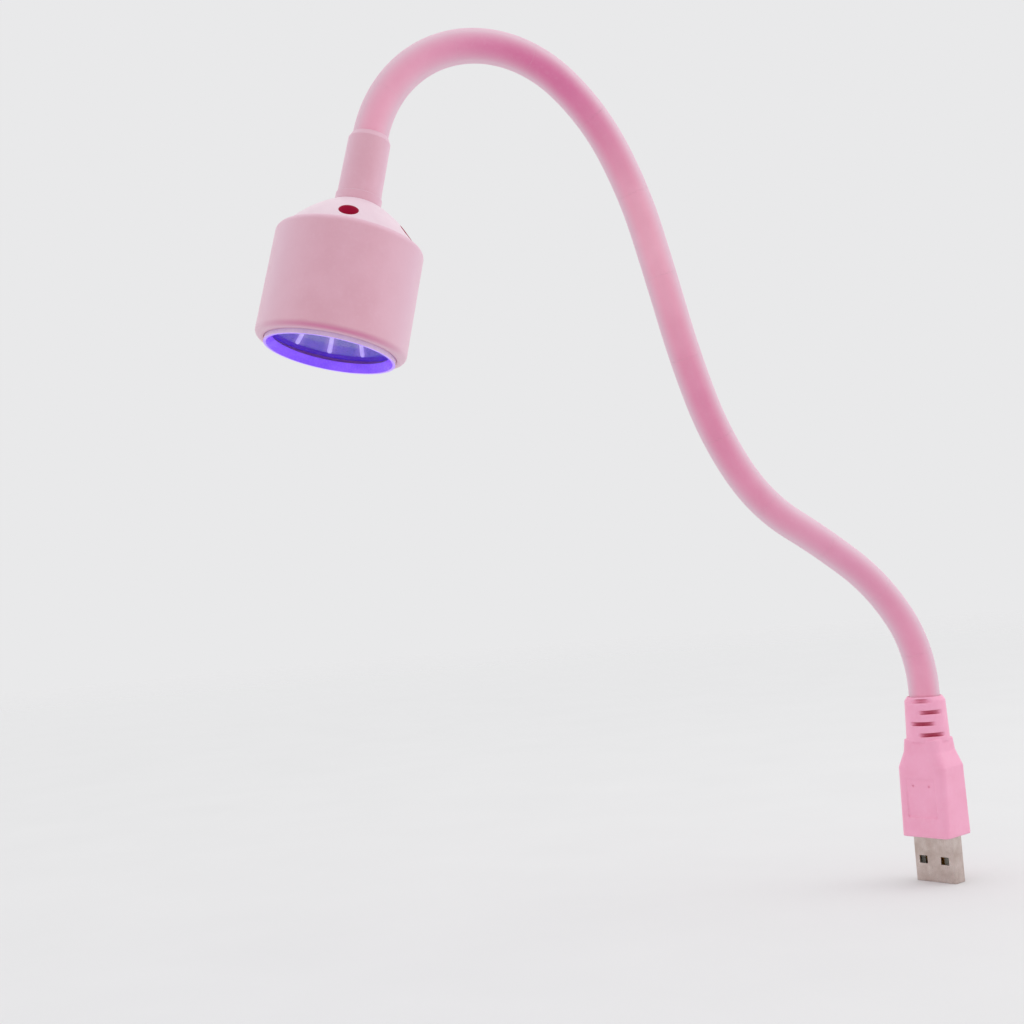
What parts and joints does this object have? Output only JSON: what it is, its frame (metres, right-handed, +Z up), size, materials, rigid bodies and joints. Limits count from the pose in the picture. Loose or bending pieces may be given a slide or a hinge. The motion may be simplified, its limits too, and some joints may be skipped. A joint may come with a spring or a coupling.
{
  "type": "uv curing lamp",
  "caption": "Small pink ultraviolet curing lamp: a cup-shaped head with vent holes on a flexible gooseneck that plugs straight into a USB-A socket.",
  "frame": {"origin": "centre of the plug's mating face, where the overmould meets the socket", "axes": "+Z up the plug towards the gooseneck, the metal shell points to -Z, the gooseneck bends in the XZ plane and the lamp head hangs over -X"},
  "size_m": [0.1805, 0.033, 0.2138],
  "materials": {
    "pink_pvc": "soft matt moulded PVC",
    "shell_steel": "nickel-plated folded steel",
    "tongue_plastic": "white moulded plastic",
    "contact_gold": "gold-plated strip",
    "inner_plastic": "natural polyethylene",
    "ferrule_steel": "turned steel",
    "pink_sleeve": "soft satin PVC tube",
    "wire_red": "red PVC jacket",
    "wire_black": "black PVC jacket",
    "core_steel": "turned steel ball and socket",
    "pink_abs": "satin moulded ABS",
    "pale_abs": "satin moulded ABS, paler than the can",
    "nut_steel": "zinc-plated steel",
    "sink_aluminium": "plain aluminium",
    "pad_grey": "soft grey silicone pad",
    "board_white": "white solder mask",
    "chip_ceramic": "ceramic package",
    "clear_silicone": "clear silicone",
    "resistor_black": "black chip resistor",
    "mirror_coat": "metallised plastic with flat facets",
    "gasket_rubber": "soft dark ring",
    "clear_lens": "clear polycarbonate",
    "violet_acrylic": "translucent violet light ring"
  },
  "bodies": {
    "plug": {"plug_overmould": "pink_pvc", "usb_shell": "shell_steel", "usb_tongue": "tongue_plastic", "usb_contacts": "contact_gold", "inner_mould": "inner_plastic", "lower_ferrule": "ferrule_steel", "neck_sleeve_base": "pink_sleeve", "wire_red": "wire_red", "wire_black": "wire_black"},
    "link_01": {"neck_link_01": "core_steel", "neck_sleeve_01": "pink_sleeve"},
    "link_02": {"neck_link_02": "core_steel", "neck_sleeve_02": "pink_sleeve"},
    "link_03": {"neck_link_03": "core_steel", "neck_sleeve_03": "pink_sleeve"},
    "link_04": {"neck_link_04": "core_steel", "neck_sleeve_04": "pink_sleeve"},
    "link_05": {"neck_link_05": "core_steel", "neck_sleeve_05": "pink_sleeve"},
    "link_06": {"neck_link_06": "core_steel", "neck_sleeve_06": "pink_sleeve"},
    "link_07": {"neck_link_07": "core_steel", "neck_sleeve_07": "pink_sleeve"},
    "link_08": {"neck_link_08": "core_steel", "neck_sleeve_08": "pink_sleeve"},
    "link_09": {"neck_link_09": "core_steel", "neck_sleeve_09": "pink_sleeve"},
    "link_10": {"neck_link_10": "core_steel", "neck_sleeve_10": "pink_sleeve"},
    "link_11": {"neck_link_11": "core_steel", "neck_sleeve_11": "pink_sleeve"},
    "link_12": {"neck_link_12": "core_steel", "neck_sleeve_12": "pink_sleeve", "neck_collar": "pink_abs", "vent_cap": "pale_abs", "head_can": "pink_abs", "upper_ferrule": "ferrule_steel", "collar_nut": "nut_steel", "lock_washer": "nut_steel", "heat_sink": "sink_aluminium", "thermal_pad": "pad_grey", "led_board": "board_white", "board_screws": "nut_steel", "led_package": "chip_ceramic", "led_dome": "clear_silicone", "board_resistors": "resistor_black", "reflector_cup": "mirror_coat", "lens_gasket": "gasket_rubber", "front_lens": "clear_lens", "bezel_ring": "violet_acrylic"}
  },
  "joints": [
    {"name": "lower_bend", "type": "hinge", "parent": "plug", "child": "link_01", "pos_m": [0, 0, 0.0375], "axis": [0, 1, 0], "range_deg": [-12, 18], "deforming": ["wire_red", "wire_black"]},
    {"name": "lower_bend_02", "type": "hinge", "parent": "link_01", "child": "link_02", "pos_m": [-0.00608, 0, 0.05707], "axis": [0, 1, 0], "range_deg": [-12, 18], "deforming": ["wire_red", "wire_black"]},
    {"name": "lower_swing", "type": "hinge", "parent": "link_02", "child": "link_03", "pos_m": [-0.02058, 0, 0.07183], "axis": [0.5807, 0, 0.8141], "range_deg": [-18, 18], "deforming": ["wire_red", "wire_black"]},
    {"name": "lower_bend_04", "type": "hinge", "parent": "link_03", "child": "link_04", "pos_m": [-0.03807, 0, 0.08307], "axis": [0, 1, 0], "range_deg": [-12, 18], "deforming": ["wire_red", "wire_black"]},
    {"name": "lower_bend_05", "type": "hinge", "parent": "link_04", "child": "link_05", "pos_m": [-0.05328, 0, 0.09702], "axis": [0, 1, 0], "range_deg": [-12, 18], "deforming": ["wire_red", "wire_black"]},
    {"name": "lower_swing_06", "type": "hinge", "parent": "link_05", "child": "link_06", "pos_m": [-0.06282, 0, 0.11543], "axis": [0.9412, 0, 0.3379], "range_deg": [-18, 18], "deforming": ["wire_red", "wire_black"]},
    {"name": "upper_bend", "type": "hinge", "parent": "link_06", "child": "link_07", "pos_m": [-0.0689, 0, 0.13531], "axis": [0, 1, 0], "range_deg": [-6, 18], "deforming": ["wire_red", "wire_black"]},
    {"name": "upper_bend_08", "type": "hinge", "parent": "link_07", "child": "link_08", "pos_m": [-0.07423, 0, 0.15542], "axis": [0, 1, 0], "range_deg": [-6, 18], "deforming": ["wire_red", "wire_black"]},
    {"name": "upper_swing", "type": "hinge", "parent": "link_08", "child": "link_09", "pos_m": [-0.08184, 0, 0.17474], "axis": [0.8866, 0, 0.4625], "range_deg": [-18, 18], "deforming": ["wire_red", "wire_black"]},
    {"name": "upper_bend_10", "type": "hinge", "parent": "link_09", "child": "link_10", "pos_m": [-0.09485, 0, 0.19078], "axis": [0, 1, 0], "range_deg": [-6, 18], "deforming": ["wire_red", "wire_black"]},
    {"name": "upper_bend_11", "type": "hinge", "parent": "link_10", "child": "link_11", "pos_m": [-0.114, 0, 0.19785], "axis": [0, 1, 0], "range_deg": [-6, 18], "deforming": ["wire_red", "wire_black"]},
    {"name": "upper_swing_12", "type": "hinge", "parent": "link_11", "child": "link_12", "pos_m": [-0.13343, 0, 0.19156], "axis": [-0.6004, 0, 0.7997], "range_deg": [-18, 18], "deforming": ["wire_red", "wire_black"]}
  ],
  "couplings": [
    {"joint": "lower_bend_02", "follows": "lower_bend", "ratio": 1},
    {"joint": "lower_bend_04", "follows": "lower_bend", "ratio": 1},
    {"joint": "lower_bend_05", "follows": "lower_bend", "ratio": 1},
    {"joint": "lower_swing_06", "follows": "lower_swing", "ratio": 1},
    {"joint": "upper_bend_08", "follows": "upper_bend", "ratio": 1},
    {"joint": "upper_bend_10", "follows": "upper_bend", "ratio": 1},
    {"joint": "upper_bend_11", "follows": "upper_bend", "ratio": 1},
    {"joint": "upper_swing_12", "follows": "upper_swing", "ratio": 1}
  ]
}
